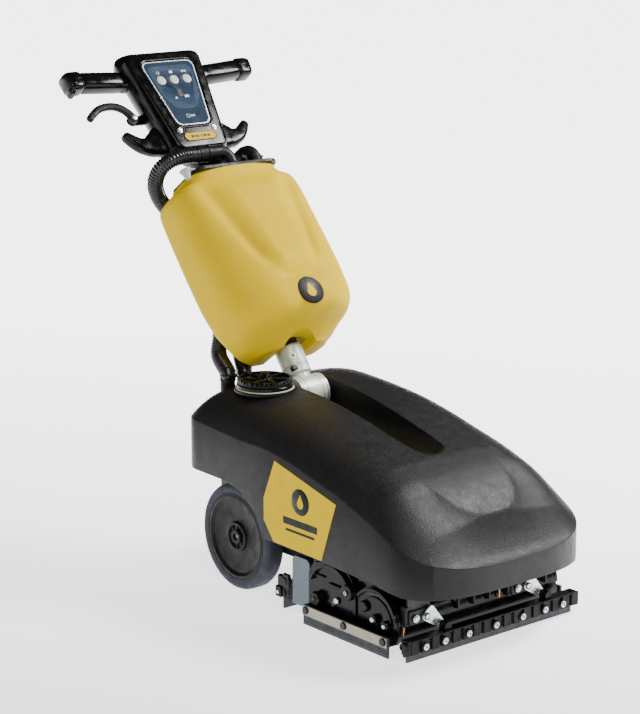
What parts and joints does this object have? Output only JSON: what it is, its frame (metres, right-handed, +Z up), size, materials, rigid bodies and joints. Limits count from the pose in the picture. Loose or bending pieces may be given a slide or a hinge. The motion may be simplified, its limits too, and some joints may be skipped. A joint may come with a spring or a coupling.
{
  "type": "walk-behind floor scrubber",
  "caption": "Walk-behind battery floor scrubber with cylindrical brushes, front and rear squeegees, a tilting column, a lift-off recovery tank and a push-button console.",
  "frame": {"origin": "on the floor, below the centre of the bounding box", "axes": "+Z up, -Y towards the front of the machine, +X towards the operator's left, with the operator behind it"},
  "size_m": [0.4816, 1.1486, 1.0159],
  "materials": {
    "charcoal_pe": "fine-grained rotomoulded polyethylene",
    "black_plastic": "satin moulded plastic",
    "gloss_black": "glossy moulded plastic",
    "yellow_pe": "satin rotomoulded polyethylene",
    "yellow_label": "printed film",
    "tyre_grey": "non-marking grey rubber",
    "squeegee_rubber": "smooth rubber",
    "hose_rubber": "corrugated hose",
    "black_frame": "black powder coat",
    "pale_casting": "pale painted casting",
    "zinc": "zinc plated",
    "steel": "turned",
    "strip_beige": "dull stainless",
    "slate_panel": "moulded plastic",
    "motor_grey": "cast housing",
    "battery_case": "battery case",
    "bristle_blue": "nylon bristle",
    "belt_black": "drive belt",
    "panel_navy": "printed overlay",
    "button_ivory": "membrane button",
    "gasket_ivory": "soft seal",
    "funnel_grey": "moulded plastic"
  },
  "bodies": {
    "base": {"solution_tank": "charcoal_pe", "side_labels": "yellow_label", "fill_neck": "black_plastic", "chassis": "black_frame", "chassis_lugs": "black_frame", "pivot_clevis": "pale_casting", "pivot_pin": "steel", "wheel_axle": "steel", "batteries": "battery_case", "brush_motor": "motor_grey", "suction_motor": "motor_grey", "water_pump": "black_plastic", "hose_sockets": "black_plastic", "brush_deck": "gloss_black", "end_plates": "gloss_black", "deck_panels": "slate_panel", "side_blade_strips": "strip_beige", "side_blades": "squeegee_rubber", "deck_screws": "black_frame", "front_link_plates": "black_frame", "brush_belt": "belt_black"},
    "motor_pulley": {"motor_pulley": "zinc"},
    "front_brush": {"front_brush_core": "motor_grey", "front_brush_bristles": "bristle_blue"},
    "rear_brush": {"rear_brush_core": "motor_grey", "rear_brush_bristles": "bristle_blue"},
    "left_wheel": {"left_tyre": "tyre_grey", "left_hub": "black_plastic"},
    "right_wheel": {"right_tyre": "tyre_grey", "right_hub": "black_plastic"},
    "brush_knobs": {"brush_knobs": "black_plastic"},
    "front_arm_right": {"front_arm_right": "zinc"},
    "front_arm_left": {"front_arm_left": "zinc"},
    "front_squeegee": {"front_squeegee_bar": "black_plastic", "front_squeegee_blade": "squeegee_rubber", "front_squeegee_bolts": "zinc"},
    "rear_squeegee": {"rear_squeegee_bar": "black_plastic", "rear_squeegee_blade": "squeegee_rubber", "rear_squeegee_arms": "black_frame"},
    "column": {"column_knuckle": "pale_casting"},
    "handle": {"swivel_collar": "pale_casting", "column_tube": "black_frame", "tank_lid": "black_plastic", "lid_fittings": "black_plastic", "lid_funnel": "funnel_grey", "console_housing": "gloss_black", "control_panel": "panel_navy", "name_plate": "yellow_label", "console_screws": "zinc", "handlebar": "gloss_black", "cable_hooks": "gloss_black", "dirty_water_hose": "hose_rubber", "air_hose": "hose_rubber"},
    "tank": {"recovery_tank": "yellow_pe", "tank_badge": "black_plastic"},
    "cap_gasket": {"cap_gasket": "gasket_ivory"},
    "fill_cap": {"fill_cap": "gloss_black"},
    "drive_lever": {"drive_lever": "black_plastic"},
    "button_left": {"button_left": "button_ivory"},
    "button_middle": {"button_middle": "button_ivory"},
    "button_right": {"button_right": "button_ivory"}
  },
  "joints": [
    {"name": "left_wheel_spin", "type": "hinge", "parent": "base", "child": "left_wheel", "pos_m": [0.182, 0.024, 0.108], "axis": [1, 0, 0], "continuous": true},
    {"name": "right_wheel_spin", "type": "hinge", "parent": "base", "child": "right_wheel", "pos_m": [-0.182, 0.024, 0.108], "axis": [1, 0, 0], "continuous": true},
    {"name": "front_brush_spin", "type": "hinge", "parent": "base", "child": "front_brush", "pos_m": [0, -0.404, 0.052], "axis": [1, 0, 0], "continuous": true},
    {"name": "rear_brush_spin", "type": "hinge", "parent": "base", "child": "rear_brush", "pos_m": [0, -0.279, 0.052], "axis": [1, 0, 0], "continuous": true},
    {"name": "motor_pulley_spin", "type": "hinge", "parent": "base", "child": "motor_pulley", "pos_m": [0.178, -0.227, 0.178], "axis": [1, 0, 0], "continuous": true},
    {"name": "brush_knob_turn", "type": "hinge", "parent": "base", "child": "brush_knobs", "pos_m": [0, -0.242, 0.054], "axis": [1, 0, 0], "range_deg": [0, 90]},
    {"name": "front_lift", "type": "hinge", "parent": "base", "child": "front_arm_right", "pos_m": [-0.151, -0.4835, 0.072], "axis": [0, -1, 0], "range_deg": [0, 10]},
    {"name": "front_lift_left", "type": "hinge", "parent": "base", "child": "front_arm_left", "pos_m": [0.11, -0.4835, 0.072], "axis": [0, -1, 0], "range_deg": [0, 10]},
    {"name": "front_squeegee_level", "type": "hinge", "parent": "front_arm_right", "child": "front_squeegee", "pos_m": [-0.114, -0.4835, 0.049], "axis": [0, -1, 0], "range_deg": [-10, 0]},
    {"name": "rear_squeegee_lift", "type": "hinge", "parent": "base", "child": "rear_squeegee", "pos_m": [0, -0.163, 0.074], "axis": [1, 0, 0], "range_deg": [0, 10]},
    {"name": "column_tilt", "type": "hinge", "parent": "base", "child": "column", "pos_m": [0, 0.047, 0.366], "axis": [1, 0, 0], "range_deg": [-6, 36], "deforming": ["dirty_water_hose", "air_hose"]},
    {"name": "column_swivel", "type": "hinge", "parent": "column", "child": "handle", "pos_m": [0, 0.047, 0.366], "axis": [0, 0.5878, 0.809], "range_deg": [-25, 25], "deforming": ["dirty_water_hose", "air_hose"]},
    {"name": "tank_pull_off", "type": "slide", "parent": "handle", "child": "tank", "axis": [0, -0.809, 0.5878], "range_m": [0, 0.15]},
    {"name": "cap_lift", "type": "slide", "parent": "base", "child": "cap_gasket", "axis": [0, 0, 1], "range_m": [0, 0.006]},
    {"name": "cap_turn", "type": "hinge", "parent": "cap_gasket", "child": "fill_cap", "pos_m": [-0.104, 0.049, 0.402], "axis": [0, 0, 1], "range_deg": [0, 540]},
    {"name": "lever_squeeze", "type": "hinge", "parent": "handle", "child": "drive_lever", "pos_m": [-0.112, 0.47507, 0.88882], "axis": [0, 0.7716, -0.6361], "range_deg": [0, 14], "stiffness_Nm_per_rad": 0.5, "springref_deg": -17.19},
    {"name": "button_left_press", "type": "slide", "parent": "handle", "child": "button_left", "axis": [0, 0.7716, -0.6361], "range_m": [0, 0.0012], "stiffness_N_per_m": 400, "springref_m": -0.0005},
    {"name": "button_middle_press", "type": "slide", "parent": "handle", "child": "button_middle", "axis": [0, 0.7716, -0.6361], "range_m": [0, 0.0012], "stiffness_N_per_m": 400, "springref_m": -0.0005},
    {"name": "button_right_press", "type": "slide", "parent": "handle", "child": "button_right", "axis": [0, 0.7716, -0.6361], "range_m": [0, 0.0012], "stiffness_N_per_m": 400, "springref_m": -0.0005}
  ],
  "couplings": [
    {"joint": "rear_brush_spin", "follows": "front_brush_spin", "ratio": 1},
    {"joint": "motor_pulley_spin", "follows": "front_brush_spin", "ratio": 1},
    {"joint": "front_lift_left", "follows": "front_lift", "ratio": 1},
    {"joint": "front_squeegee_level", "follows": "front_lift", "ratio": -1},
    {"joint": "cap_lift", "follows": "cap_turn", "m_per_rad": 0.00063662}
  ]
}
